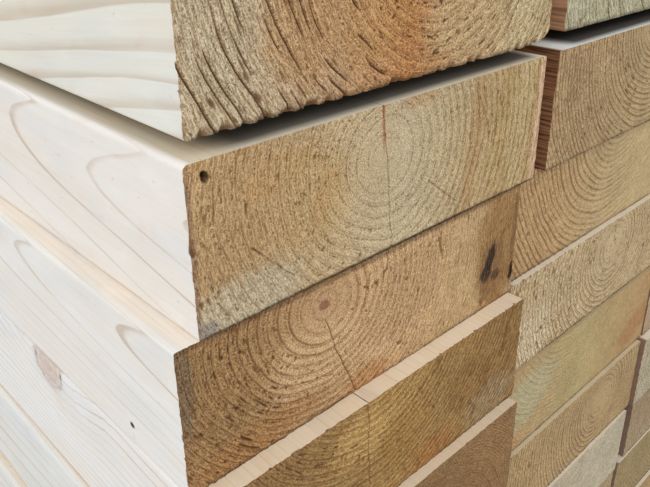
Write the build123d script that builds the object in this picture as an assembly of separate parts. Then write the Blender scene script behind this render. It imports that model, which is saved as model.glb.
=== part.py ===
from build123d import *
import os
from collections import namedtuple

# A stack of planed softwood boards, laid flat and butted side by side, with thin laths under the
# top layer. Sizes are in millimetres. X runs across the stack, Y along the boards from their near
# ends to their far ends, and Z up. The origin is under the middle of the stack, on the ground.

# Board
board_width = 145.0
board_thickness = 45.0
board_length = 2400.0
arris_radius = 3.0

# Lath
lath_width = 38.0
lath_thickness = 4.5
lath_arris = 0.5
lath_count = 4
lath_from_board_end = 300.0
lath_from_stack_side = 6.0
layers_on_laths = 1

# Wane: one board keeps a strip of the log's round outside along its lower inner arris. The log's
# middle is given from the board's lower left corner, and the strip runs out towards the far end.
waney_board = "board_a1"
wane_log_middle_x = 70.0
wane_log_middle_z = 62.0
wane_width_at_near_end = 9.0
wane_run_out = 900.0

# Layers from the top of the stack down. A layer's side says how far its left edge is set in (+) or
# stands out (-), its gaps lie between its boards from left to right, and its ends say how far each
# board's near end is set back (+) or stands out (-).
Layer = namedtuple("Layer", "side gaps ends")
layers = [
    Layer(side=2.0, gaps=(17.5, 2.5), ends=(1.5, 5.5, 3.0)),
    Layer(side=0.0, gaps=(9.0, 2.0), ends=(0.0, 0.5, 2.0)),
    Layer(side=-7.0, gaps=(4.0, 3.0), ends=(0.5, 4.0, 1.0)),
    Layer(side=-7.5, gaps=(3.0, 2.0), ends=(-6.0, 1.5, 3.0)),
    Layer(side=-10.0, gaps=(0.5, 1.0), ends=(-10.0, 0.0, -0.5)),
    Layer(side=-13.5, gaps=(0.5, 0.5), ends=(-7.0, -2.0, -4.5)),
    Layer(side=-18.0, gaps=(0.5, 13.0), ends=(-5.0, -3.5, -2.0)),
    Layer(side=-19.0, gaps=(1.0, 5.0), ends=(-8.0, -3.0, -3.0)),
    Layer(side=-17.0, gaps=(1.0, 2.0), ends=(-4.0, -6.0, -5.0)),
    Layer(side=-15.0, gaps=(2.0, 1.0), ends=(-6.0, -2.0, -7.0)),
]
columns = "abc"


def bar(width, thickness, length, arris):
    """A straight bar along +Y, its lower left near corner at the origin, its long edges rounded."""
    section = Pos(width / 2, thickness / 2) * RectangleRounded(width, thickness, arris)
    return extrude(Plane.XZ * section, -length)


def log():
    """The tapered log that the waney board is sawn from, lying along +Y."""
    reach_x = board_width - wane_log_middle_x
    to_corner = (reach_x**2 + wane_log_middle_z**2) ** 0.5
    near_radius = to_corner - wane_width_at_near_end / 2
    taper = (to_corner - near_radius) / wane_run_out
    far_radius = near_radius + taper * board_length
    cone = Cone(near_radius, far_radius, board_length, align=(Align.CENTER, Align.CENTER, Align.MIN))
    return Pos(wane_log_middle_x, 0, wane_log_middle_z) * Rot(X=-90) * cone


def left_edges(layer):
    """The left edge of each board of a layer, before the stack is centred."""
    edges = [layer.side]
    for gap in layer.gaps:
        edges.append(edges[-1] + board_width + gap)
    return edges


def layer_bottom(index):
    """The height of a layer's underside. Index 0 is the top layer."""
    layers_below = len(layers) - 1 - index
    lath_gap = lath_thickness if index < layers_on_laths else 0.0
    return layers_below * board_thickness + lath_gap


all_left_edges = [edge for layer in layers for edge in left_edges(layer)]
all_near_ends = [end for layer in layers for end in layer.ends]
middle_x = (min(all_left_edges) + max(all_left_edges) + board_width) / 2
middle_y = (min(all_near_ends) + max(all_near_ends) + board_length) / 2


def boards():
    """Every board by name, from the top layer down and from left to right."""
    plain = bar(board_width, board_thickness, board_length, arris_radius)
    placed = {}
    for index, layer in enumerate(layers):
        for column, edge, end in zip(columns, left_edges(layer), layer.ends):
            name = f"board_{column}{index + 1}"
            board = plain & log() if name == waney_board else plain
            placed[name] = Pos(edge - middle_x, end - middle_y, layer_bottom(index)) * board
    return placed


def laths():
    """The laths by name, from the near end to the far end, on top of the layer that carries them."""
    carrier = layers[layers_on_laths]
    edges = left_edges(carrier)
    left = edges[0] + lath_from_stack_side
    right = edges[-1] + board_width - lath_from_stack_side
    lath = Rot(Z=-90) * bar(lath_width, lath_thickness, right - left, lath_arris)
    first = max(carrier.ends) + lath_from_board_end
    last = min(carrier.ends) + board_length - lath_from_board_end
    step = (last - first) / (lath_count - 1)
    bottom = layer_bottom(layers_on_laths) + board_thickness
    placed = {}
    for number in range(lath_count):
        middle = first + number * step
        place = Pos(left - middle_x, middle + lath_width / 2 - middle_y, bottom)
        placed[f"lath_{number + 1}"] = place * lath
    return placed


os.makedirs("parts", exist_ok=True)
for name, piece in {**boards(), **laths()}.items():
    export_step(piece, f"parts/{name}.step")
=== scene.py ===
import math
from dataclasses import dataclass, replace
from itertools import product

import bpy
import numpy as np
from mathutils import Matrix, Vector


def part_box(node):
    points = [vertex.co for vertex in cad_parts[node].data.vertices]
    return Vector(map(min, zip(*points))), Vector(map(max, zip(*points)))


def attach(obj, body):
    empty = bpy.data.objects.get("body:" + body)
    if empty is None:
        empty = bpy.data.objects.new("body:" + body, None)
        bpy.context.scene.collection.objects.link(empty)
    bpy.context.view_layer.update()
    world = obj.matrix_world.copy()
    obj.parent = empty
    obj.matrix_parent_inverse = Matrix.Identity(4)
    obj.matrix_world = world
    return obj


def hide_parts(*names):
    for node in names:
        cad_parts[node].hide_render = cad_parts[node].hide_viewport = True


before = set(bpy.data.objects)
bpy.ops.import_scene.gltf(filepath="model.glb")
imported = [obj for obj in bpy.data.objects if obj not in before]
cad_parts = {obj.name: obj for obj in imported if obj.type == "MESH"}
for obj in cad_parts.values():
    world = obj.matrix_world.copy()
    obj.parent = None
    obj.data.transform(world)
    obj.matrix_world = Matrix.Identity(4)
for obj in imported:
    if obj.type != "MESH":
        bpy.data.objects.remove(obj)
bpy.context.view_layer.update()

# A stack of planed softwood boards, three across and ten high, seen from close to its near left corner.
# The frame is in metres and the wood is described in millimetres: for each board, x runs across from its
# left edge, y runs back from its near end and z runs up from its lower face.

MM = 0.001
BOARD_WIDTH = 145
BOARD_THICKNESS = 45


# Board descriptions

RING_RADII = (20, 90)   # distances out from the heart


@dataclass
class Board:
    pith: tuple = (70, 20)          # heart of the log at the near end, x and z
    ring_width: tuple = (2.7, 2.4)  # width of a ring at each of the two RING_RADII
    taper: float = 0.02             # how fast the log gets thinner back from the near end
    lean: float = 0.0               # how fast its heart rises back from the near end
    heart: float = 20.0             # radius in which the rings are fainter
    dark_wood: float = 0.45         # part of a ring's width at which its dark wood begins
    tones: tuple = ((0.38, 0.27, 0.15), (0.37, 0.26, 0.14), (0.39, 0.28, 0.16))
                                    # colours of the sawn end at its left, middle and right
    face: tuple = (0.77, 0.745, 0.695)    # colour of the planed left side and left half of the lower face; where dark, on boards inside the stack, it is painted shade of the gap beside them
    upper: tuple = (0.74, 0.65, 0.52)     # colour of the planed upper face
    contrast: tuple = (1.2, 1.2)    # strength of the rings on the sawn end, at its left and right
    stripes: float = 0.8            # strength of the rings on the planed faces
    tight: float = 9.0              # how tightly they gather into thin lines there
    torn: tuple = (0.5, 0.4)        # roughness left by the saw, at the left and right edges
    tears: tuple = ()               # patches of slits torn out along the rings:
                                    # (x, z, half width, half height, share from 0 to 1, length, width, depth)
    ragged: float = 0.0             # depth of the teeth torn out of the lower edge
    step: float = 2.0               # spacing of the mesh over the sawn end
    blots: tuple = ()               # (x, z, half width, half height, turn in degrees, colour, strength)
    pits: tuple = ()                # (x, z, half width, half height, turn in degrees, depth)
    slits: tuple = ()               # ((x, z), (x, z), width, depth)
    check: tuple = ()               # points of a crack that opens through the sawn end, from the top down
    knots: tuple = ()               # (y, angle round the heart in degrees, radius, darkness from 0 to 1)
    swells: tuple = ()              # (y, z, half length, half height, push) bending the left face's grain
    fibres: float = 0.3             # strength of the fine streaks on the planed faces
    shaded_gap: tuple = (0.0, 0.0)      # painted shade on the lower and the upper face inside the stack, where the layers shade the gap between them
    arris: float = 0.6              # radius of the upper left edge
    corner: tuple = (1.0, 1.0)      # half width and height of the lower right corner at the near end
    corner_run: float = 1           # length over which that corner gets back to the others


PALE_GREY = (0.5, 0.455, 0.34)
SLATE = (0.24, 0.23, 0.22)
ORANGE = (0.46, 0.27, 0.1)
RUSSET = (0.4, 0.17, 0.06)
# dark stains, and painted shade inside the holes of pits
DARK_STAIN_AND_PIT_SHADE = (0.025, 0.015, 0.008)
UMBER = (0.2, 0.1, 0.04)
# Painted shade: the left faces of boards inside the stack, beside a shaded gap, get these dark colours.
SHADED_FACE = (0.4, 0.26, 0.17)

middle_column = {"step": 1.0, "face": SHADED_FACE}
right_column = {"step": 1.4, "face": (0.22, 0.14, 0.1), "contrast": (1.6, 1.6)}

described = {
    "board_a1": Board(
        pith=(85, 42), ring_width=(3.8, 2.7), taper=-0.004, lean=-0.14, dark_wood=0.4,
        tones=((0.5, 0.42, 0.295), (0.475, 0.24, 0.095), (0.505, 0.42, 0.26)),
        face=(0.785, 0.765, 0.69), contrast=(1.2, 1.5), stripes=1.5, tight=1.6, torn=(1.0, 0.8), ragged=1.8,
        tears=((22, 22, 60, 60, 0.93, 11, 0.75, 0.65), (128, 15, 45, 40, 0.8, 5, 0.8, 0.5)),
        step=0.34, shaded_gap=(0.9, 0.0), corner=(12.5, 4.5), corner_run=900,
        swells=((0, 8, 60, 9, 1.2),),
        blots=(
            (60, 20, 16, 12, 30, ORANGE, 0.45),
            (34, 20, 13, 14, 0, (0.44, 0.24, 0.09), 0.5),
            (25, 38, 10, 8, 0, ORANGE, 0.25),
            (98, 13, 18, 12, 0, (0.52, 0.4, 0.235), 0.7),
        ),
    ),
    "board_a2": Board(
        pith=(65, 29), ring_width=(3.7, 2.8), taper=0.055, heart=45.0, dark_wood=0.65,
        tones=((0.46, 0.312, 0.16), (0.52, 0.44, 0.295), (0.445, 0.322, 0.156)),
        face=(0.825, 0.78, 0.725), upper=(0.73, 0.65, 0.51), contrast=(1.4, 2.1), stripes=1.4,
        tight=16.0, torn=(0.8, 0.45), arris=1.4, step=0.4, shaded_gap=(0.0, 0.85),
        blots=(
            (12, 3, 22, 10, 10, PALE_GREY, 0.7),
            (1, 1.5, 5, 3.5, 0, SLATE, 0.75),
            (26, 36, 12, 5, 15, ORANGE, 0.35),
            (38, 26, 13, 13, 0, (0.465, 0.328, 0.148), 0.6),
            (42, 26, 9, 4, 60, ORANGE, 0.3),
            (106, 22, 4, 34, -6, (0.41, 0.25, 0.12), 0.5),
            (133, 24, 9, 34, -4, (0.5, 0.405, 0.235), 0.55),
            (139.6, 24, 1.2, 40, -4, (0.38, 0.23, 0.11), 0.5),
            (143.6, 26, 2.2, 40, -2, (0.62, 0.43, 0.3), 0.9),
            (0.4, 22, 1.0, 30, 0, (0.22, 0.13, 0.09), 0.6),
            (63.4, 41, 0.55, 10, 3, RUSSET, 0.95),
            (79, 44, 9, 2.5, 0, (0.42, 0.24, 0.11), 0.5),
            # painted shade in the hole of the pit at the same place
            (5.3, 41.1, 1.1, 1.6, 20, DARK_STAIN_AND_PIT_SHADE, 1.0),
            # painted shadow along the lower edge, over the board below
            (72, 0, 100, 0.95, 0, (0.055, 0.026, 0.01), 0.9),
        ),
        pits=((5.2, 41.1, 0.9, 1.4, 20, 3.0),),
        slits=(((83.8, 17.3), (98.1, 6.2), 0.12, 0.4), ((17, 19), (30, 6.3), 0.14, 0.5)),
        check=((62.9, 45.7), (65, 30), (68.7, -0.8)),
    ),
    "board_a3": Board(
        pith=(48, 37), ring_width=(3.0, 1.5), taper=0.03, dark_wood=0.66,
        tones=((0.33, 0.2, 0.09), (0.57, 0.385, 0.215), (0.48, 0.335, 0.175)),
        face=(0.81, 0.79, 0.755), upper=(0.84, 0.77, 0.68), contrast=(3.4, 0.8), stripes=1.4, tight=16.0,
        torn=(1.0, 0.4), step=0.4,
        tears=((16, 12, 19, 9, 0.85, 6, 0.8, 0.5), (28, 21, 16, 9, 0.8, 6, 0.6, 0.4)),
        blots=(
            (44, 22, 17, 13, 0, (0.69, 0.49, 0.29), 0.45),
            (82, 25, 18, 14, 20, (0.45, 0.29, 0.16), 0.6),
            (50, 35, 10, 7, 0, (0.5, 0.33, 0.19), 0.6),
            (48, 37, 2.0, 1.6, 0, (0.27, 0.11, 0.07), 0.85),
            (135, 24, 15, 28, 0, (0.27, 0.145, 0.05), 0.8),
            (130, 17, 7.5, 12, -10, UMBER, 0.65),
            (138.5, 11, 4, 3.5, 0, (0.24, 0.12, 0.045), 0.6),
            (143.5, 26, 1.6, 18, 0, UMBER, 0.8),
            # painted shade in the hole of the pit beside it
            (143.6, 9, 1.5, 4.2, -4, DARK_STAIN_AND_PIT_SHADE, 1.0),
            (129.4, 20.5, 2.6, 6.2, -14, DARK_STAIN_AND_PIT_SHADE, 0.95),
            (127.2, 14.5, 3.4, 3.2, 30, DARK_STAIN_AND_PIT_SHADE, 0.95),
            (133.5, 12.5, 3.0, 2.2, 10, DARK_STAIN_AND_PIT_SHADE, 0.6),
            (125.9, 4.1, 1.5, 1.7, 0, UMBER, 0.85),
            (66, 3, 9, 5, 0, (0.44, 0.21, 0.075), 0.6),
            (22, 6, 26, 5, 4, (0.4, 0.21, 0.08), 0.5),
            (1.0, 34, 3.5, 16, 0, (0.15, 0.115, 0.08), 0.6),
            # painted shadow along the upper edge, under the overhanging board above
            (72, 45.2, 100, 2.3, 0, (0.13, 0.07, 0.03), 0.65),
        ),
        pits=((143.6, 10.5, 0.9, 3.4, -6, 2.6), (97.7, 18, 0.7, 0.5, 0, 0.8)),
        check=((48.2, 31.7), (60.9, -0.5)),
        knots=((27.3, 212, 0.75, 1.0),),
    ),
    "board_a4": Board(
        pith=(60, 68), ring_width=(2.7, 2.2), dark_wood=0.5,
        tones=((0.28, 0.165, 0.066), (0.42, 0.27, 0.1), (0.3, 0.185, 0.071)),
        face=(0.82, 0.8, 0.775), upper=(0.8, 0.67, 0.5), contrast=(2.4, 3.2), stripes=1.5, torn=(0.8, 0.7),
        tears=((30, 38, 24, 12, 0.8, 4, 1.0, 0.4), (120, 30, 40, 30, 0.5, 6, 0.7, 0.4)), step=0.7,
        blots=(
            (57, 33, 12, 10, 0, (0.57, 0.38, 0.15), 0.6),
            (78, 20, 14, 12, 0, (0.34, 0.2, 0.062), 0.65),
            (92.7, 5, 12, 7, 0, (0.36, 0.16, 0.05), 0.6),
            (112, 24, 14, 12, 0, (0.25, 0.14, 0.05), 0.5),
            (128, 8, 16, 10, 0, (0.33, 0.26, 0.16), 0.6),
        ),
        slits=(((82.8, 39.1), (97, 18.1), 0.15, 0.5), ((139, 45), (133, 24), 0.7, 1.2)),
        check=((60.4, 45.9), (61.5, -0.5)),
        knots=((90, 203, 7.5, 0.0),),
        swells=((90, 40, 30, 16, 4.0),),
    ),
    "board_a5": Board(
        pith=(95, -10), ring_width=(2.4, 2.2), lean=0.03, step=1.0, torn=(0.7, 0.6), contrast=(1.6, 1.6),
        tones=((0.25, 0.15, 0.065), (0.26, 0.155, 0.065), (0.27, 0.16, 0.07)),
        face=(0.75, 0.745, 0.715), upper=(0.72, 0.59, 0.43), stripes=1.0,
    ),
    "board_b1": Board(
        pith=(105, 45), step=0.8, torn=(0.7, 0.7), contrast=(2.4, 2.4), shaded_gap=(0.9, 0.0),
        tears=((72, 22, 99, 60, 0.7, 10, 0.9, 0.4),),
        # its left face is painted with the shade of the gap beside it
        face=(0.42, 0.23, 0.13), stripes=0.9, fibres=1.6,
        tones=((0.49, 0.48, 0.35),) * 3,
    ),
    "board_b2": Board(
        pith=(80, 48), ring_width=(2.3, 2.1), dark_wood=0.3, step=0.8, torn=(0.6, 0.4), contrast=(3.4, 3.0),
        shaded_gap=(0.0, 1.0), tears=((40, 22, 30, 25, 0.6, 6, 1.2, 0.4),),
        tones=((0.44, 0.32, 0.18), (0.48, 0.37, 0.21), (0.48, 0.37, 0.21)),
        # its left face is painted with the shade of the gap beside it
        face=(0.25, 0.115, 0.055), upper=(0.74, 0.76, 0.74), stripes=0.9, fibres=2.0,
    ),
    "board_b3": Board(
        pith=(78, 62), dark_wood=0.25, step=0.8, torn=(0.5, 0.2), contrast=(3.2, 0.9),
        tones=((0.5, 0.34, 0.175), (0.54, 0.42, 0.235), (0.5, 0.39, 0.215)),
        # its left face and its upper face under the board above are painted shade
        face=SHADED_FACE, upper=SHADED_FACE,
    ),
    "board_b4": Board(
        pith=(87, 32), **middle_column, torn=(1.0, 0.7), contrast=(3.6, 2.2),
        blots=((14, 10, 24, 16, 20, (0.66, 0.58, 0.42), 0.7),),
        tones=((0.57, 0.46, 0.29), (0.55, 0.44, 0.275), (0.52, 0.41, 0.25)),
        pits=((88, 34, 0.8, 0.8, 0, 1.5),),
    ),
    "board_b5": Board(
        pith=(60, 75), **middle_column, torn=(0.3, 0.2), contrast=(1.4, 0.8),
        tones=((0.45, 0.32, 0.165), (0.45, 0.36, 0.18), (0.44, 0.3, 0.145)),
        # painted shade on the narrow strip of upper face that stands out under the board above
        upper=(0.43, 0.34, 0.2),
        blots=(
            (132, 14, 20, 9, 20, (0.38, 0.2, 0.08), 0.7),
            (140, 38, 7, 12, 0, (0.44, 0.27, 0.12), 0.5),
            (20, 24, 30, 14, 20, (0.45, 0.43, 0.27), 0.7),
            (10, 4, 14, 9, 0, (0.44, 0.27, 0.13), 0.6),
        ),
    ),
    "board_b6": Board(
        pith=(105, 28), **middle_column, torn=(0.5, 0.5), contrast=(3.6, 3.0), upper=(0.6, 0.5, 0.35),
        tones=((0.46, 0.335, 0.175), (0.46, 0.335, 0.18), (0.45, 0.33, 0.18)),
    ),
    "board_b7": Board(
        pith=(60, 70), **middle_column, torn=(0.35, 0.35), contrast=(1.5, 1.5),
        tones=((0.47, 0.41, 0.3), (0.5, 0.44, 0.33), (0.5, 0.45, 0.34)),
    ),
    "board_c5": Board(
        pith=(60, 10), **right_column,
        tones=((0.45, 0.34, 0.23), (0.44, 0.335, 0.225), (0.43, 0.33, 0.22)),
    ),
    "board_c6": Board(
        pith=(75, 60), **right_column,
        tones=((0.45, 0.41, 0.29), (0.44, 0.4, 0.28), (0.44, 0.4, 0.28)),
    ),
    "board_c7": Board(
        pith=(50, 30), **right_column,
        tones=((0.38, 0.29, 0.185), (0.37, 0.285, 0.18), (0.37, 0.28, 0.18)),
    ),
    "board_c8": Board(
        pith=(90, 55), **right_column,
        tones=((0.34, 0.26, 0.135), (0.33, 0.255, 0.132), (0.33, 0.255, 0.13)),
    ),
}


def plain_board(number):
    """A board with no description of its own: its heart, colours and roughness vary like the others'."""
    random = np.random.default_rng(700 + number)
    tint = random.uniform(0.82, 1.12)
    warmth = random.uniform(-0.03, 0.03)
    end = tuple(tint * c for c in (0.4 + warmth, 0.3, 0.175 - warmth))
    knot_count = random.integers(2, 6)
    knots = tuple(
        (random.uniform(150, 2250), random.uniform(0, 360), random.uniform(3.5, 7.0), 0.0)
        for _ in range(knot_count)
    )
    return Board(
        pith=(random.uniform(35, 110), random.uniform(-15, 65)),
        ring_width=(random.uniform(2.4, 3.4), random.uniform(1.9, 2.6)),
        taper=random.uniform(0.005, 0.03),
        tones=(end, tuple(1.04 * c for c in end), end),
        contrast=(random.uniform(1.2, 2.2), random.uniform(1.2, 2.2)),
        stripes=random.uniform(0.8, 1.3),
        torn=(random.uniform(0.3, 0.8), random.uniform(0.3, 0.6)),
        knots=knots,
    )


# Noise from whole-number hashes, so that every run gives the same wood

def hashed(ix, iy, iz, seed):
    n = ix * 374761393 + iy * 668265263 + iz * 2147483647 + seed * 974634777
    n = (n ^ (n >> 13)) * 1274126177
    n = n ^ (n >> 16)
    return (n & 0xFFFF) / 65535.0


def noise(x, y, z, seed):
    """Smooth noise from 0 to 1 with a feature size of 1."""
    places = [c.astype(float) for c in np.broadcast_arrays(x, y, z)]
    whole = [np.floor(c).astype(np.int64) for c in places]
    part = [c - w for c, w in zip(places, whole)]
    ease = [p * p * (3 - 2 * p) for p in part]
    total = 0
    for corner in product((0, 1), repeat=3):
        wx, wy, wz = (e if far else 1 - e for e, far in zip(ease, corner))
        total += wx * wy * wz * hashed(*(w + far for w, far in zip(whole, corner)), seed)
    return total


def smoothstep(low, high, value):
    t = np.clip((value - low) / (high - low), 0, 1)
    return t * t * (3 - 2 * t)


def distance_to_segment(x, z, start, end):
    sx, sz = end[0] - start[0], end[1] - start[1]
    t = np.clip(((x - start[0]) * sx + (z - start[1]) * sz) / (sx * sx + sz * sz), 0, 1)
    return np.hypot(x - start[0] - t * sx, z - start[1] - t * sz)


def in_spot(x, z, spot_x, spot_z, half_width, half_height, turn=0):
    """1 in the middle of an oval spot, falling softly to 0 past its edge."""
    c, s = math.cos(math.radians(turn)), math.sin(math.radians(turn))
    across = ((x - spot_x) * c + (z - spot_z) * s) / half_width
    along = (-(x - spot_x) * s + (z - spot_z) * c) / half_height
    return np.exp(-(across ** 2 + along ** 2) ** 1.5)


# The wood's inner pattern

SWEEP = 300.0                   # length over which a log's taper and lean level out
MIDDLE = 72                     # where a board's right half begins
TONE_STOPS = (18, MIDDLE, 125)  # where its three end colours lie across it
CONTRAST_STOPS = (30, 110)      # and its two ring strengths
NEAR_PART = 1000                # length at the near end that blots can colour


def ring_law(board):
    """(scale, power): ring number = (radius / scale) ** power gives the board's two ring widths."""
    near, far = board.ring_width
    near_radius, far_radius = RING_RADII
    power = 1 + math.log(near / far) / math.log(far_radius / near_radius)
    scale = (near * power * near_radius ** (power - 1)) ** (1 / power)
    return scale, power


def grain_of(board, x, y, z, seed):
    """(x and z from the heart, how much the rings there differ from round ones) in millimetres."""
    back = SWEEP * np.tanh(y / SWEEP)
    slow = noise(x / 45, y / 320, z / 45, seed) - 0.5
    fine = noise(x / 14, y / 120, z / 14, seed + 1) - 0.5
    least = noise(x / 4.5, y / 70, z / 4.5, seed + 17) - 0.5
    warp = 5.0 * slow + 1.6 * fine + 0.25 * least + board.taper * back
    for swell_y, swell_z, half_length, half_height, push in board.swells:
        hill = np.exp(-((y - swell_y) / half_length) ** 2 - ((z - swell_z) / half_height) ** 2)
        warp += push * hill * np.exp(-(x / 12) ** 2)
    return x - board.pith[0], z - board.pith[1] - board.lean * back, warp


def latewood(board, ring):
    """The dark part of a ring: it comes on slowly and ends at once."""
    part = ring - np.floor(ring)
    return smoothstep(board.dark_wood, 0.92, part) * (1 - smoothstep(0.94, 1.0, part))


def contrast_of(board, x):
    return np.interp(x, CONTRAST_STOPS, board.contrast)


def torn_of(board, x, z, seed):
    torn = np.interp(x, (0, BOARD_WIDTH), board.torn)
    return torn * (0.5 + noise(x / 17, 3.3, z / 17, seed + 2))


def sawn_relief(board, x, z, seed):
    """Over the sawn end: (depth into the board in millimetres, how broken, how torn along the rings,
    how far past each ring's dark wood the torn slits lie)."""
    px, pz, warp = grain_of(board, x, 0 * x, z, seed)
    reach = np.maximum(np.hypot(px, pz), 0.5)
    turn_x, turn_z = px / reach, pz / reach
    radius = np.maximum(reach + warp, 0.05)
    scale, power = ring_law(board)
    ring = (radius / scale) ** power
    past_ring = (ring - np.floor(ring)) * radius / (power * ring)
    torn = torn_of(board, x, z, seed)
    grains = 0.2 * (noise(x / 0.9, 0, z / 0.9, seed + 3) - 0.5)
    grains += 0.18 * (noise(x / 2.2, 0, z / 2.2, seed + 4) - 0.5)
    place = 0.15 + 2.0 * noise(turn_x * 5, radius / 6, turn_z * 5, seed + 18) ** 1.5
    tears = np.zeros(x.shape)
    slits = np.zeros(x.shape)
    for *oval, share, length, width, deep in board.tears:
        share = share * in_spot(x, z, *oval)
        patch = noise(turn_x * 60 / length, radius / 1.7, turn_z * 60 / length, seed + 5)
        patch = smoothstep(0.85 - 0.42 * share, 1.0 - 0.3 * share, patch) * smoothstep(5, 20, radius)
        slit = 1 - smoothstep(0.2 * width, 0.2 * width + 0.28, np.abs(past_ring - place))
        tears = np.maximum(tears, width * patch)
        slits = np.maximum(slits, deep * slit * patch)
    short_tears = noise(turn_x * 24, radius / 0.75, turn_z * 24, seed + 6)
    short_tears = smoothstep(0.83 - 0.1 * torn, 0.96, short_tears)
    depth = torn * (grains + 0.3 * short_tears) + slits
    depth -= 0.09 * contrast_of(board, x) * latewood(board, ring) * (1 - 0.3 * torn)
    broken = np.clip(torn * 0.75 * short_tears, 0, 1)
    for start, end, width, deep in board.slits:
        wavy_x = x + 0.6 * (noise(x / 3, 1, z / 3, seed + 7) - 0.5)
        cut = 1 - smoothstep(0.3 * width, 1.2 * width + 0.15, distance_to_segment(wavy_x, z, start, end))
        cut *= 0.35 + 0.65 * noise(x / 1.5, 2, z / 1.5, seed + 10)
        depth += deep * cut
        broken = np.maximum(broken, 0.9 * cut)
    for *oval, deep in board.pits:
        hole = smoothstep(0.3, 0.7, in_spot(x, z, *oval))
        depth += deep * hole
        broken = np.maximum(broken, hole)
    return depth, broken, tears, place


def end_colour(board, x, y, z, seed):
    """Colour of a sawn end before its rings, with a painted shadow along its lower edge where it rests on the
    board below. Only the near end has blots.
    """
    stops = np.array(board.tones)
    tone = np.stack([np.interp(x, TONE_STOPS, stops[:, i]) for i in range(3)], -1)
    cloud = 0.6 * noise(x / 16, 7.7, z / 16, seed + 8) + 0.4 * noise(x / 6, 9.1, z / 6, seed + 13) - 0.5
    # painted shadow along the lower edge, where the board rests on the one below
    seam_shadow = np.exp(-(z / 0.95) ** 2) * (0.4 + 0.6 * noise(x / 5, 2.2, 0, seed + 19))
    tone *= ((1 + 0.28 * cloud) * (1 - 0.85 * seam_shadow))[..., None]
    ragged = 0.5 * (noise(x / 1.6, 0, z / 1.6, seed + 9) - 0.5)
    ragged += 0.3 * (noise(x / 5, 0, z / 5, seed + 14) - 0.5)
    for *oval, colour, strength in board.blots:
        spot = in_spot(x, z, *oval)
        amount = strength * smoothstep(0.1, 0.75, spot + ragged * spot) * (y < NEAR_PART)
        tone = tone * (1 - amount[..., None]) + np.array(colour) * amount[..., None]
    return tone


# Meshes

PLANED, SAWN = 0, 1  # a piece's two materials

EDGE_BAND = 3.0     # width of the closely meshed band along each long edge
EDGE_STEP = 0.75    # greatest spacing of the mesh over it
BODY_STEP = 4.2     # spacing of the mesh across a board behind its near end
ARRIS = 0.8         # radius of the planed edges that have none of their own
LATH_ARRIS = 0.5
LATH_LOOPS = 48
CRACK_DEPTH = 2.5
CLOSE_LOOPS = (1.0, 2.2, 4.5, 9.0, 16.0, 26.0)  # distances of the first loops from the near end
RELIEF_RUN = 9      # how far back the relief of the near end reaches along the sides
CRACK_RUN = 24      # and how far back a crack does
FAR_SEED = 40       # what a board's seed changes by at its far end


def rounded(u, v, width, height, corners):
    """Moves the points of a rectangle's grid so that its four corners become quarter ellipses.
    Corners are (half width, half height) at lower left, lower right, upper right and upper left."""
    x, z = u.copy(), v.copy()
    for (rx, rz), (side_x, side_z) in zip(corners, ((-1, -1), (1, -1), (1, 1), (-1, 1))):
        middle_x = rx if side_x < 0 else width - rx
        middle_z = rz if side_z < 0 else height - rz
        a = np.clip((u - middle_x) * side_x / rx, 0, 1)
        b = np.clip((v - middle_z) * side_z / rz, 0, 1)
        inside = (a > 0) & (b > 0)
        x = np.where(inside, middle_x + side_x * rx * a * np.sqrt(1 - b ** 2 / 2), x)
        z = np.where(inside, middle_z + side_z * rz * b * np.sqrt(1 - a ** 2 / 2), z)
    return x, z


def stations(length, arris, step):
    """Positions across a face: close together over the two rounded edges and evenly between them."""
    edge = np.linspace(0, arris, max(3, round(arris / min(step, EDGE_STEP)) + 1))
    middle = np.linspace(arris, length - arris, max(2, round((length - 2 * arris) / step) + 1))
    return np.concatenate([edge[:-1], middle, (length - edge)[::-1][1:]])


def round_the_edge(grid):
    """The values round the edge of a grid: bottom, right, top, left."""
    return np.concatenate([grid[:-1, 0], grid[-1, :-1], grid[:0:-1, -1], grid[0, :0:-1]])


def grid_faces(index):
    quads = np.stack([index[:-1, :-1], index[1:, :-1], index[1:, 1:], index[:-1, 1:]], -1)
    return quads.reshape(-1, 4)


def loop_faces(front, back):
    """Faces between two loops of the same length, front nearer the start of the board."""
    ahead = np.roll(np.arange(len(front)), -1)
    return np.stack([front, back, back[ahead], front[ahead]], -1)


def merging_faces(front, back, places):
    """Faces from a close loop to a coarse one. The coarse one keeps the close loop's points at places."""
    faces = []
    for j, start in enumerate(places):
        span = (places[(j + 1) % len(places)] - start) % len(front)
        between = [int(front[(start + span - k) % len(front)]) for k in range(span)]
        faces.append([int(front[start]), int(back[j]), int(back[(j + 1) % len(back)])] + between)
    return faces


def kept_stations(count, edge_count, every):
    """Which stations the coarse body keeps: each second one round the corners and few between."""
    edge = set(range(0, edge_count, 2)) | {edge_count}
    middle = set(range(edge_count, count - 1 - edge_count, every))
    return sorted(edge | middle | {count - 1 - i for i in edge})


class Shape:
    """Vertices and faces gathered for one piece, in the board's own millimetres."""

    def __init__(self):
        self.rows = []
        self.faces = []
        self.materials = []
        self.count = 0

    def add(self, x, y, z, torn=0.0, tears=0.0, place=0.45):
        """Adds points and returns their numbers."""
        columns = np.broadcast_arrays(x, y, z, torn, tears, place)
        index = np.arange(self.count, self.count + columns[0].size).reshape(columns[0].shape)
        self.rows.append(np.stack([column.ravel() for column in columns], -1))
        self.count += index.size
        return index

    def fill(self, faces, material):
        self.faces.extend(faces if isinstance(faces, list) else faces.tolist())
        self.materials.extend([material] * len(faces))

    def extend(self, previous, x, y, z, torn=0.0, places=None):
        """Adds a loop and joins it to the one before, which is closer where places are given."""
        loop = self.add(x, y, z, torn)
        joined = loop_faces(previous, loop) if places is None else merging_faces(previous, loop, places)
        self.fill(joined, PLANED)
        return loop

    def close(self, previous, far):
        """Joins the last loop to the far end and fills that."""
        self.fill(loop_faces(previous, round_the_edge(far)), PLANED)
        self.fill(grid_faces(far)[:, ::-1], SAWN)


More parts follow.
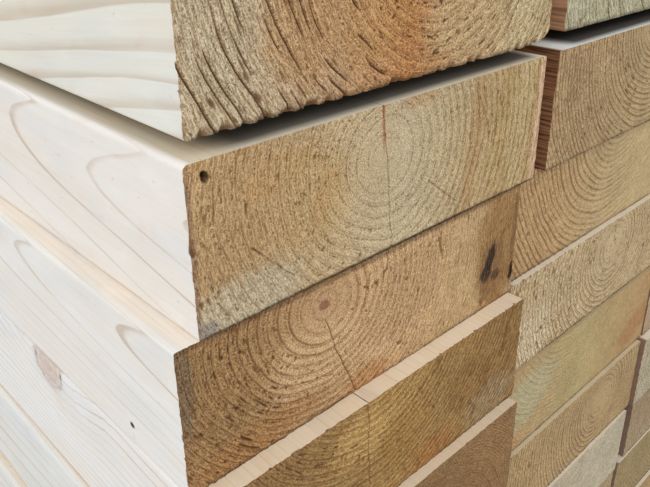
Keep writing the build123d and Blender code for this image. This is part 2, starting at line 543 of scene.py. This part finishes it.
class Crack:
    """The crack that runs down the sawn end of a board, if it has one."""

    def __init__(self, board, seed):
        self.points = board.check
        self.heart = board.pith[1]
        self.seed = seed
        if self.points:
            self.middle = (self.points[0][0] + self.points[-1][0]) / 2

    def line(self, z):
        places, heights = zip(*reversed(self.points))
        return np.interp(z, heights, places) + 0.9 * (noise(z / 4, 0, 0, self.seed + 11) - 0.5)

    def crowd(self, us):
        """Puts close stations on both sides of the crack."""
        if not self.points:
            return us
        beside = self.middle + np.array([-0.9, -0.4, -0.17, 0.0, 0.17, 0.4, 0.9])
        return np.sort(np.concatenate([us[np.abs(us - self.middle) > 1.1], beside]))

    def bend(self, u, v):
        """Bends the columns of the grid so that the middle one follows the crack."""
        if not self.points:
            return u
        return u + (self.line(v) - self.middle) * np.exp(-((u - self.middle) / 14) ** 2)

    def depth(self, x, z):
        """1 in the crack, 0 beside it and above its top, fainter above the heart."""
        if not self.points:
            return np.zeros(np.shape(x))
        top = self.points[0][1]
        begun = 1.0 if top > BOARD_THICKNESS - 1 else smoothstep(top + 1, top - 5, z)
        begun = begun * np.where(z > self.heart, 0.45, 1.0)
        return begun * (1 - smoothstep(0.03, 0.2, np.abs(x - self.line(z))))


def edge_wear(board, x, z, width, height, seed):
    """Chips round the sawn end and the ragged teeth of its lower edge: (added depth, how broken)."""
    to_edge = np.minimum.reduce([x, width - x, z, height - z])
    chips = smoothstep(0.55, 0.85, noise(x / 1.3, 0, z / 1.3, seed + 12)) * torn_of(board, x, z, seed)
    depth = np.exp(-(to_edge / 0.5) ** 2) * (0.06 + 0.15 * chips)
    broken = np.exp(-(to_edge / 0.7) ** 2) * 0.35 * chips
    if board.ragged:
        slant = x - 0.35 * z
        teeth = 0.7 * noise(slant / 2.1, 0, 0, seed + 15) + 0.3 * noise(slant / 0.8, 0, 0, seed + 20)
        teeth = smoothstep(0.4, 0.78, teeth) * (0.4 + 0.6 * noise(slant / 9, 0, 0, seed + 16))
        teeth *= np.exp(-(z / 1.6) ** 2)
        depth += board.ragged * teeth
        broken = np.maximum(broken, 0.75 * teeth)
    return depth, broken


def body_stations(board, length):
    """Distances from the near end at which a board's coarse body has loops."""
    near = np.arange(34, 330, 10) if board.step < 1 else (60, 150)
    return [*near, *np.linspace(400, length - 30, 14), length - 6, length - 1.5]


def build_board(node, board, seed):
    low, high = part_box(node)
    width, length, height = (high - low) / MM
    crack = Crack(board, seed)
    us = crack.crowd(stations(width, EDGE_BAND, board.step))
    vs = stations(height, EDGE_BAND, board.step)

    def section(u, v, y):
        """The outline at y, where the lower right corner is on its way back to the others."""
        fade = np.clip(1 - y / board.corner_run, 0, 1)
        corner = [ARRIS + (size - ARRIS) * fade for size in board.corner]
        corners = ((ARRIS, ARRIS), corner, (ARRIS, ARRIS), (board.arris, board.arris))
        return rounded(u, v, width, height, corners)

    # the sawn near end
    u, v = np.meshgrid(us, vs, indexing="ij")
    u = crack.bend(u, v)
    x, z = section(u, v, 0)
    depth, broken, tears, place = sawn_relief(board, x, z, seed)
    opening = crack.depth(x, z)
    wear, worn = edge_wear(board, x, z, width, height, seed)
    depth = depth + CRACK_DEPTH * opening + wear
    shape = Shape()
    cap = shape.add(x, depth, z, np.maximum.reduce([broken, opening, worn]), tears, place)
    shape.fill(grid_faces(cap), SAWN)

    # close loops just behind it
    rim_u, rim_v = round_the_edge(u), round_the_edge(v)
    rim_depth, rim_opening = round_the_edge(depth), round_the_edge(opening)
    previous = round_the_edge(cap)
    for y in CLOSE_LOOPS:
        x, z = section(rim_u, rim_v, y)
        opening = rim_opening * max(0.0, 1 - y / CRACK_RUN)
        inward = np.where(z > height / 2, -opening, opening)
        sunk = rim_depth * max(0.0, 1 - y / RELIEF_RUN)
        previous = shape.extend(previous, x, y + sunk, z + inward, 0.9 * opening ** 0.35)

    # the coarse body and the far end
    edge_count = int(np.searchsorted(vs, EDGE_BAND - 1e-6))
    every = max(1, round(BODY_STEP / board.step))
    kept = np.ix_(*(kept_stations(len(line), edge_count, every) for line in (us, vs)))
    number = np.arange(u.size).reshape(u.shape)
    order = {n: i for i, n in enumerate(round_the_edge(number).tolist())}
    places = [order[n] for n in round_the_edge(number[kept]).tolist()]
    rim_u, rim_v = round_the_edge(u[kept]), round_the_edge(v[kept])
    for y in body_stations(board, length):
        x, z = section(rim_u, rim_v, y)
        previous = shape.extend(previous, x, y, z, places=places)
        places = None
    x, z = section(u[kept], v[kept], length)
    unmarked = replace(board, pits=(), slits=())
    depth, broken, tears, place = sawn_relief(unmarked, x, z, seed + FAR_SEED)
    far = shape.add(x, length - np.clip(depth, 0, 1.0), z, 0.3 * broken, tears, place)
    shape.close(previous, far)
    return finish_wood(node, shape, board, seed, width, height, low)


def placed(name, data):
    """A new object in the scene."""
    thing = bpy.data.objects.new(name, data)
    bpy.context.scene.collection.objects.link(thing)
    return thing


def finish_wood(node, shape, board, seed, width, height, low):
    """Makes the mesh, with its near lower left corner at low, and gives it what the materials read."""
    x, y, z, torn, tears, place = np.concatenate(shape.rows).T
    points = np.stack([x, y, z], -1) * MM + np.array(low)
    mesh = bpy.data.meshes.new(node + "_wood")
    mesh.from_pydata(points.tolist(), [], shape.faces)
    mesh.polygons.foreach_set("material_index", np.array(shape.materials, np.int32))
    px, pz, warp = grain_of(board, x, y, z, seed)
    # painted shade of the gaps between layers, on the lower and upper faces away from the near end and the
    # edges
    inside = smoothstep(7.0, 20.0, x) * smoothstep(2.0, 6.0, width - x) * smoothstep(0.2, 4.5, y)
    upper = smoothstep(height - 1.2, height - 0.2, z) * board.shaded_gap[1]
    lower = smoothstep(1.2, 0.2, z) * board.shaded_gap[0]
    topping = smoothstep(height - 0.5, height - 0.05, z) * smoothstep(1.2, 3.0, x)
    # the board's own face colour goes on its left half; on boards inside the stack it is painted shade
    sides = np.where((x < MIDDLE)[:, None], board.face, Board.face)
    face = sides * (1 - topping[:, None]) + np.array(board.upper) * topping[:, None]

    def store(name, values, kind="FLOAT", field="value"):
        attribute = mesh.attributes.new(name, kind, "POINT")
        attribute.data.foreach_set(field, values.ravel().astype(np.float32))

    store("grain", np.stack([px, y, pz], -1), "FLOAT_VECTOR", "vector")
    store("end_tone", np.insert(end_colour(board, x, y, z, seed), 3, 1.0, -1), "FLOAT_COLOR", "color")
    store("face_tone", np.insert(face, 3, 1.0, -1), "FLOAT_COLOR", "color")
    store("warp", warp)
    store("torn", torn)
    store("tears", tears)
    store("place", place)
    store("soil", inside * (upper + lower))
    store("contrast", contrast_of(board, x))
    store("stripes", board.stripes * (1 - 0.65 * topping))
    store("fibres", board.fibres + (0.5 - board.fibres) * topping)
    mesh.shade_smooth()
    mesh.set_sharp_from_angle(angle=math.radians(50))
    return placed(node + "_wood", mesh)


def build_lath(node, board, seed):
    """A thin sawn strip that lies across the boards, with rough faces and crisp edges."""
    low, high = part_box(node)
    length, width, height = (high - low) / MM
    us, vs = stations(width, LATH_ARRIS, 2.0), stations(height, LATH_ARRIS, 1.0)
    x, z = rounded(*np.meshgrid(us, vs, indexing="ij"), width, height, ((LATH_ARRIS, LATH_ARRIS),) * 4)
    shape = Shape()
    near = shape.add(x, 0.3 * noise(x, 0, z, seed), z)
    shape.fill(grid_faces(near), SAWN)
    previous = round_the_edge(near)
    rim_x, rim_z = round_the_edge(x), round_the_edge(z)
    for y in np.linspace(1, length - 1, LATH_LOOPS):
        rough = 0.25 * (noise(rim_x / 3, y / 14, rim_z / 3, seed + 1) - 0.5)
        x_here, z_here = np.clip(rim_x + rough, 0, width), np.clip(rim_z + rough, 0, height)
        previous = shape.extend(previous, x_here, y, z_here)
    shape.close(previous, shape.add(x, length - 0.3 * noise(x, 5, z, seed), z))
    piece = finish_wood(node, shape, board, seed, width, height, (0, 0, 0))
    across_the_stack = Matrix(((0, 1, 0, low.x), (-1, 0, 0, high.y), (0, 0, 1, low.z), (0, 0, 0, 1)))
    piece.data.transform(across_the_stack)
    return piece


# Node materials

# pale fibres, and painted glints and sheen
PALE_FIBRE_AND_GLINT = (0.85, 0.72, 0.5, 1)
SLIT_EDGE = (0.22, 0.1, 0.035, 1)
# partly torn fibres, partly painted shade at the bottom of a slit
SLIT_CORE = (0.085, 0.04, 0.016, 1)
BROKEN = (0.17, 0.075, 0.025, 1)
# near-black painted shade in holes, cracks, slits and torn teeth of sawn ends
HOLE_SHADE = (0.022, 0.011, 0.005, 1)
KNOT_WOOD = (0.62, 0.47, 0.37, 1)
KNOT_RING = (0.5, 0.34, 0.25, 1)
PITCH = (0.03, 0.02, 0.015, 1)
BARK = (0.12, 0.055, 0.028, 1)
# painted shade for planed faces inside the gaps between layers
SHADE_IN_GAP = (0.085, 0.075, 0.065, 1)
# painted shade inside cracks and torn spots of planed faces
CRACK_SHADE = (0.06, 0.03, 0.014, 1)
BUMP_HEIGHT = {PLANED: 0.08, SAWN: 0.3}  # finest relief, in the materials only


class Nodes:
    """Short ways to add and join nodes in one tree."""

    def __init__(self, tree):
        self.tree = tree

    def add(self, kind, inputs=(), **settings):
        """A new node, with its inputs given by name or number."""
        node = self.tree.nodes.new(kind)
        for key, value in settings.items():
            setattr(node, key, value)
        for key, value in dict(inputs).items():
            self.put(node.inputs[key], value)
        return node

    def put(self, socket, value):
        if isinstance(value, bpy.types.NodeSocket):
            self.tree.links.new(value, socket)
        else:
            socket.default_value = value

    def math(self, operation, *values):
        return self.add("ShaderNodeMath", enumerate(values), operation=operation).outputs[0]

    def times(self, first, *others):
        for other in others:
            first = self.math("MULTIPLY", first, other)
        return first

    def vector(self, operation, *values):
        node = self.add("ShaderNodeVectorMath", enumerate(values), operation=operation)
        return node.outputs["Value" if operation in ("LENGTH", "DOT_PRODUCT") else "Vector"]

    def scaled(self, vector, amount):
        """A vector or colour times a number."""
        inputs = {"Vector": vector, "Scale": amount}
        return self.add("ShaderNodeVectorMath", inputs, operation="SCALE").outputs["Vector"]

    def stretched(self, vector, x, y, z):
        return self.vector("MULTIPLY", vector, (x, y, z))

    def tinted(self, colour, tint, factor=None):
        """A colour times another, or part of the way there."""
        tinted = self.vector("MULTIPLY", colour, tint)
        return tinted if factor is None else self.mix(factor, colour, tinted)

    def distance(self, a, b):
        """How far apart two numbers are."""
        return self.math("ABSOLUTE", self.math("SUBTRACT", a, b))

    def noise(self, vector, scale=1.0, detail=2.0, roughness=0.55, offset=None):
        if offset:
            vector = self.vector("ADD", vector, offset)
        inputs = {"Vector": vector, "Scale": scale, "Detail": detail, "Roughness": roughness}
        return self.add("ShaderNodeTexNoise", inputs).outputs["Fac"]

    def grain_noise(self, grain, across, along, detail=2.0, offset=None):
        """Noise with one scale across the grain and another along it."""
        return self.noise(self.stretched(grain, across, along, across), 1.0, detail, offset=offset)

    def fit(self, value, low, high, to_low=0.0, to_high=1.0):
        """Smoothly from to_low at low to to_high at high."""
        inputs = {"Value": value, "From Min": low, "From Max": high, "To Min": to_low, "To Max": to_high}
        return self.add("ShaderNodeMapRange", inputs, interpolation_type="SMOOTHSTEP").outputs["Result"]

    def mix(self, factor, a, b):
        return self.add("ShaderNodeMix", {0: factor, 6: a, 7: b}, data_type="RGBA").outputs[2]

    def join(self, x, y, z):
        return self.add("ShaderNodeCombineXYZ", enumerate((x, y, z))).outputs[0]


def shader_of(tree, kind="BSDF_PRINCIPLED"):
    return next(node for node in tree.nodes if node.type == kind)


SOCKET_KINDS = {"Grain": "Vector", "Aim": "Vector", "Tone": "Color", "Color": "Color"}


def group(name, inputs, outputs):
    """A new node group: (tree, its nodes, its inputs, its outputs)."""
    tree = bpy.data.node_groups.new(name, "ShaderNodeTree")
    for way, labels in (("INPUT", inputs), ("OUTPUT", outputs)):
        for label in labels:
            kind = "NodeSocket" + SOCKET_KINDS.get(label, "Float")
            tree.interface.new_socket(name=label, in_out=way, socket_type=kind)
    nodes = Nodes(tree)
    return tree, nodes, nodes.add("NodeGroupInput").outputs, nodes.add("NodeGroupOutput").inputs


def ring_group():
    """Growth rings round the heart, each with its own strength."""
    tree, n, given, out = group(
        "growth rings", ("Grain", "Warp", "Scale", "Power", "Dark Wood", "Tight", "Heart"),
        ("Late", "Line", "Past", "Before"),
    )
    radius = n.math("ADD", n.vector("LENGTH", n.stretched(given["Grain"], 1, 0, 1)), given["Warp"])
    radius = n.math("MAXIMUM", radius, 0.05)
    ring = n.math("POWER", n.math("DIVIDE", radius, given["Scale"]), given["Power"])
    part = n.math("FRACT", ring)
    ring_width = n.math("DIVIDE", radius, n.times(ring, given["Power"]))
    n.put(out["Past"], n.times(part, ring_width))
    n.put(out["Before"], n.times(n.math("SUBTRACT", 1.0, part), ring_width))
    white = n.add("ShaderNodeTexWhiteNoise", {"W": n.math("FLOOR", ring)}, noise_dimensions="1D")
    fading = n.fit(n.grain_noise(given["Grain"], 0.1, 0.01), 0.35, 0.62, 0.6, 1.0)
    late = n.times(n.fit(part, given["Dark Wood"], 0.92), n.fit(part, 1.0, 0.94))
    patches = n.fit(n.grain_noise(given["Grain"], 0.24, 0.004, 3.0), 0.36, 0.58, 0.55, 1.0)
    strength = n.times(n.fit(white.outputs["Value"], 0.0, 1.0, 0.55, 1.0), fading, patches)
    strength = n.times(strength, n.fit(radius, 2.0, given["Heart"], 0.2, 1.0))
    n.put(out["Late"], n.times(late, strength))
    n.put(out["Line"], n.times(n.math("POWER", late, given["Tight"]), strength))
    return tree


def knot_group():
    """A branch running out from the heart: its wood, the dark ring round it, its push on the rings."""
    tree, n, given, out = group("knot", ("Grain", "Y", "Aim", "Radius"), ("Inside", "Bark", "Push", "Ratio"))
    place = n.vector("SUBTRACT", given["Grain"], n.join(0.0, given["Y"], 0.0))
    along = n.vector("DOT_PRODUCT", place, given["Aim"])
    across = n.vector("SUBTRACT", place, n.scaled(given["Aim"], along))
    away = n.vector("LENGTH", n.stretched(across, 1.0, 0.72, 1.0))
    wobble = n.times(given["Radius"], 0.8)
    away = n.math("MULTIPLY_ADD", n.math("SUBTRACT", n.noise(place, 0.14, 3.0), 0.5), wobble, away)
    reach = n.times(given["Radius"], n.fit(along, 0.0, 60.0, 0.25, 1.0))
    outward = n.fit(along, -1.0, 3.0)
    ratio = n.math("DIVIDE", away, reach)
    n.put(out["Inside"], n.times(outward, n.fit(ratio, 1.4, 0.5)))
    n.put(out["Bark"], n.times(outward, n.fit(n.distance(ratio, 1.0), 0.2, 0.0)))
    n.put(out["Push"], n.times(outward, n.fit(ratio, 4.5, 0.6)))
    n.put(out["Ratio"], ratio)
    return tree


def sawn_group():
    """Colour, roughness and fine height of a sawn end."""
    tree, n, given, out = group(
        "sawn end",
        ("Grain", "Tone", "Torn", "Tears", "Late", "Past", "Before", "Place", "Contrast", "Coarse"),
        ("Color", "Roughness", "Height"),
    )
    flat = n.stretched(given["Grain"], 1, 0, 1)
    tx, _, tz = n.add("ShaderNodeSeparateXYZ", {0: n.vector("NORMALIZE", flat)}).outputs
    radius = n.vector("LENGTH", flat)
    coarse = given["Coarse"]
    past_heart = n.fit(radius, 3.0, 14.0)

    def along_rings(turns, across, detail):
        place = n.join(n.times(tx, turns), n.times(radius, across), n.times(tz, turns))
        return n.noise(place, 1.0, detail, 0.65)

    fibres = along_rings(36.0, 2.4, 3.0)
    streaks = along_rings(9.0, 0.9, 2.0)
    dots = along_rings(70.0, 0.8, 2.0)
    rays = along_rings(60.0, 0.12, 2.0)
    granules = n.noise(flat, 2.2, 3.0, 0.75)
    specks = n.noise(flat, 2.0, 1.0, 0.5, offset=(31.0, 17.0, 5.0))
    pores = n.noise(flat, 1.7, 1.0, 0.5, offset=(7.0, 47.0, 23.0))
    late = n.times(given["Late"], given["Contrast"])
    tone = given["Tone"]
    dark = n.tinted(tone, (0.42, 0.28, 0.17))
    pale = n.mix(0.25, n.scaled(tone, 1.7), PALE_FIBRE_AND_GLINT)
    deep = n.tinted(tone, (0.56, 0.45, 0.33))
    bright = n.tinted(tone, (1.5, 1.48, 1.42))

    # the grain between the rings, then the rings
    light = n.fit(n.math("MULTIPLY_ADD", granules, 0.5, n.times(fibres, 0.5)), 0.42, 0.58)
    colour = n.mix(coarse, tone, n.mix(light, deep, bright))
    colour = n.tinted(colour, (0.72, 0.58, 0.42), n.times(n.fit(streaks, 0.48, 0.62), coarse, 0.5))
    colour = n.mix(n.math("MINIMUM", n.times(late, 0.55), 0.9), colour, dark)
    dotted = n.times(coarse, past_heart)
    # pale crest along each ring: partly paler latewood, partly painted sheen of its polished ridge
    crest = n.times(n.fit(given["Before"], 0.42, 0.12), n.fit(dots, 0.42, 0.6), dotted, 0.55)
    colour = n.mix(crest, colour, pale)
    pitted = n.times(n.fit(n.distance(given["Past"], 0.45), 0.5, 0.15), n.fit(dots, 0.5, 0.6))
    row = n.times(pitted, dotted, n.math("MINIMUM", given["Contrast"], 1.6))
    colour = n.mix(n.math("MINIMUM", n.times(row, 0.62), 0.9), colour, n.scaled(dark, 0.8))
    colour = n.mix(n.times(n.fit(pores, 0.66, 0.76), coarse, 0.9), colour, n.scaled(dark, 0.5))
    # pale specks: partly fuzzy fibres, partly painted glints
    speckled = n.times(n.fit(specks, 0.64, 0.74), n.math("MULTIPLY_ADD", coarse, 0.8, 0.1))
    colour = n.mix(speckled, colour, pale)
    colour = n.mix(n.fit(rays, 0.5, 0.75, 0.0, 0.12), colour, pale)

    # slits torn out past the rings, their cores partly painted shade, then cracks and holes, painted dark as
    # shade
    past_slit = n.math("MULTIPLY_ADD", given["Tears"], -0.24, n.distance(given["Past"], given["Place"]))
    edge = n.times(n.fit(past_slit, 0.34, 0.0), n.fit(given["Tears"], 0.0, 0.5), 0.65)
    core = n.times(n.fit(past_slit, 0.1, -0.1), n.fit(given["Tears"], 0.1, 0.6), 0.88)
    colour = n.mix(edge, colour, SLIT_EDGE)
    colour = n.mix(core, colour, SLIT_CORE)
    colour = n.mix(n.fit(given["Torn"], 0.02, 0.45, 0.0, 0.75), colour, BROKEN)
    # painted shade where the end is most broken: holes, cracks, slits and teeth
    colour = n.mix(n.fit(given["Torn"], 0.4, 1.0, 0.0, 0.9), colour, HOLE_SHADE)
    n.put(out["Color"], colour)
    n.put(out["Roughness"], n.fit(granules, 0.3, 0.7, 0.95, 0.8))
    height = n.math("MULTIPLY_ADD", granules, 0.5, n.times(fibres, 0.5))
    height = n.math("MULTIPLY_ADD", late, 0.25, height)
    height = n.math("MULTIPLY_ADD", pores, -0.5, height)
    n.put(out["Height"], n.math("MULTIPLY_ADD", row, -0.5, height))
    return tree


def planed_group():
    """Colour, roughness and fine height of a planed face."""
    tree, n, given, out = group(
        "planed face",
        ("Grain", "Tone", "Torn", "Soil", "Line", "Stripes", "Fibres", "Inside", "Black", "Bark", "Ratio"),
        ("Color", "Roughness", "Height"),
    )
    grain = given["Grain"]
    fibres = n.grain_noise(grain, 1.1, 0.03, 3.0)
    clouds = n.grain_noise(grain, 0.05, 0.01)
    cool = n.grain_noise(grain, 0.06, 0.02, offset=(9.0, 4.0, 2.0))
    blush = n.grain_noise(grain, 0.12, 0.05, 3.0, offset=(3.0, 8.0, 5.0))
    flecks = n.grain_noise(grain, 0.9, 0.35, 1.0)

    # rings and fine streaks
    line = n.math("MINIMUM", n.times(given["Line"], given["Stripes"]), 1.0)
    warm = n.tinted(given["Tone"], (0.77, 0.68, 0.6))
    colour = n.mix(line, given["Tone"], warm)
    streaks = n.math("MINIMUM", n.times(n.fit(fibres, 0.4, 0.7), given["Fibres"]), 1.0)
    colour = n.tinted(colour, (0.92, 0.87, 0.8), streaks)
    dark_streaks = n.math("MAXIMUM", n.math("SUBTRACT", given["Fibres"], 1.0), 0.0)
    colour = n.mix(n.times(n.fit(fibres, 0.46, 0.6), dark_streaks), colour, n.scaled(colour, 0.35))

    # soft changes of colour
    colour = n.tinted(colour, (0.99, 0.94, 0.88), n.fit(clouds, 0.38, 0.62, 0.0, 0.6))
    colour = n.tinted(colour, (0.96, 0.87, 0.8), n.fit(blush, 0.58, 0.72, 0.0, 0.5))
    colour = n.tinted(colour, (1.07, 1.07, 1.07), n.fit(blush, 0.42, 0.28, 0.0, 0.5))
    colour = n.tinted(colour, (0.92, 0.95, 0.99), n.fit(cool, 0.48, 0.66, 0.0, 0.6))
    colour = n.mix(n.fit(flecks, 0.73, 0.8, 0.0, 0.5), colour, warm)

    # knots, painted shade in the gaps between layers, and cracks painted dark as shade
    knot_rings = n.noise(n.join(n.times(given["Ratio"], 6.0), 0.0, 0.0), 1.0, 1.0)
    knot = n.mix(n.fit(knot_rings, 0.35, 0.65), KNOT_WOOD, KNOT_RING)
    colour = n.mix(n.times(given["Inside"], 0.65), colour, knot)
    colour = n.mix(given["Black"], colour, PITCH)
    flecked = n.fit(n.noise(grain, 0.35, 2.0), 0.45, 0.65, 0.15, 0.8)
    colour = n.mix(n.times(given["Bark"], flecked), colour, BARK)
    # painted shade in the gaps between layers
    colour = n.mix(given["Soil"], colour, SHADE_IN_GAP)
    # painted shade inside cracks and torn spots
    colour = n.mix(n.fit(given["Torn"], 0.1, 0.6, 0.0, 0.9), colour, CRACK_SHADE)
    n.put(out["Color"], colour)
    n.put(out["Roughness"], n.fit(fibres, 0.3, 0.7, 0.66, 0.52))
    n.put(out["Height"], n.math("MULTIPLY_ADD", fibres, 0.6, n.times(line, 0.5)))
    return tree


def wood_material(name, board, surface, groups):
    material = bpy.data.materials.new(name)
    material.use_nodes = True
    n = Nodes(material.node_tree)
    principled = shader_of(n.tree)

    def attribute(label, output="Fac"):
        return n.add("ShaderNodeAttribute", attribute_name=label).outputs[output]

    def attributes(*labels):
        """What the mesh stores under these labels, for the inputs of the same labels."""
        return {label.capitalize(): attribute(label) for label in labels}

    def use(kind, **inputs):
        inputs = {label.replace("_", " "): value for label, value in inputs.items()}
        return n.add("ShaderNodeGroup", inputs, node_tree=groups[kind]).outputs

    grain = attribute("grain", "Vector")
    warp = attribute("warp")
    inside, black, bark, ratio = 0.0, 0.0, 0.0, 9.0
    for y, angle, radius, darkness in board.knots:
        aim = (math.cos(math.radians(angle)), 0.0, math.sin(math.radians(angle)))
        knot = use("knot", Grain=grain, Y=y, Aim=aim, Radius=radius)
        warp = n.math("MULTIPLY_ADD", knot["Push"], -0.9 * radius, warp)
        inside = n.math("MAXIMUM", knot["Inside"], inside)
        black = n.math("MAXIMUM", n.times(knot["Inside"], darkness), black)
        bark = n.math("MAXIMUM", knot["Bark"], bark)
        ratio = n.math("MINIMUM", knot["Ratio"], ratio)
    scale, power = ring_law(board)
    rings = use(
        "rings", Grain=grain, Warp=warp, Scale=scale, Power=power,
        Dark_Wood=board.dark_wood, Tight=board.tight, Heart=board.heart,
    )
    if surface == SAWN:
        coarse = 0.35 + 0.6 * sum(board.torn) / 2
        look = use(
            "sawn", Grain=grain, Tone=attribute("end_tone", "Color"), Late=rings["Late"], Past=rings["Past"],
            Before=rings["Before"], Coarse=coarse, **attributes("torn", "tears", "place", "contrast"),
        )
    else:
        look = use(
            "planed", Grain=grain, Tone=attribute("face_tone", "Color"), Line=rings["Line"],
            Inside=inside, Black=black, Bark=bark, Ratio=ratio,
            **attributes("torn", "soil", "stripes", "fibres"),
        )
    relief = {"Strength": 0.8, "Distance": BUMP_HEIGHT[surface] * MM, "Height": look["Height"]}
    bump = n.add("ShaderNodeBump", relief)
    n.put(principled.inputs["Base Color"], look["Color"])
    n.put(principled.inputs["Roughness"], look["Roughness"])
    n.put(principled.inputs["Specular IOR Level"], 0.2)
    n.put(principled.inputs["Normal"], bump.outputs["Normal"])
    return material


# Building

groups = {"rings": ring_group(), "knot": knot_group(), "sawn": sawn_group(), "planed": planed_group()}

FIRST_SEED, SEED_STEP = 100, 50  # each piece has seeds of its own

for number, node in enumerate(sorted(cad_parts)):
    seed = FIRST_SEED + SEED_STEP * number
    if node.startswith("lath"):
        board = Board(pith=(40, -30), taper=0.01)
        piece = build_lath(node, board, seed)
    else:
        board = described.get(node) or plain_board(number)
        piece = build_board(node, board, seed)
    piece.data.materials.append(wood_material(node + "_planed", board, PLANED, groups))
    piece.data.materials.append(wood_material(node + "_sawn", board, SAWN, groups))
    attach(piece, "root")
    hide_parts(node)


# Floor, light and camera

scene = bpy.context.scene
scene.view_settings.view_transform = "Standard"

floor_mesh = bpy.data.meshes.new("floor")
reach = 30.0
floor_corners = [(x * reach, y * reach, 0) for x, y in ((-1, -1), (1, -1), (1, 1), (-1, 1))]
floor_mesh.from_pydata(floor_corners, [], [(0, 1, 2, 3)])
floor = placed("floor", floor_mesh)
floor_material = bpy.data.materials.new("floor")
floor_material.use_nodes = True
floor_bsdf = shader_of(floor_material.node_tree)
floor_bsdf.inputs["Base Color"].default_value = (0.62, 0.61, 0.59, 1)
floor_bsdf.inputs["Roughness"].default_value = 0.9
floor_mesh.materials.append(floor_material)

world = bpy.data.worlds.new("daylight")
scene.world = world
world.use_nodes = True
sky = shader_of(world.node_tree, "BACKGROUND")
sky.inputs["Color"].default_value = (0.93, 0.96, 1.0, 1)
sky.inputs["Strength"].default_value = 0.97

lamp = bpy.data.lights.new("open_sky", "AREA")
lamp.shape = "RECTANGLE"
lamp.size = 3.0
lamp.size_y = 2.4
lamp.energy = 60
lamp_object = placed("open_sky", lamp)
low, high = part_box("board_a2")
corner = Vector((low.x, low.y, high.z))
lamp_offset = Vector((-2.2, -2.2, 2.4))
lamp_object.location = corner + lamp_offset
lamp_object.rotation_euler = (-lamp_offset).to_track_quat("-Z", "Y").to_euler()

# The camera stands about 16 cm off the near left corner of the second layer's left board.
camera_offset = Vector((-76.53, -126.65, 56.7)) * MM
yaw, pitch, roll = (math.radians(angle) for angle in (44.322, -24.265, -0.181))
camera_data = bpy.data.cameras.new("camera")
camera_data.sensor_width = 36
camera_data.lens = 40.36
camera_data.shift_x = -0.0248
camera_data.shift_y = -0.0648
camera_data.clip_start = 0.005
camera = placed("camera", camera_data)
aimed = Matrix.Rotation(-yaw, 4, "Z") @ Matrix.Rotation(math.pi / 2 + pitch, 4, "X")
aimed = aimed @ Matrix.Rotation(roll, 4, "Z")
camera.matrix_world = Matrix.Translation(corner + camera_offset) @ aimed
scene.camera = camera
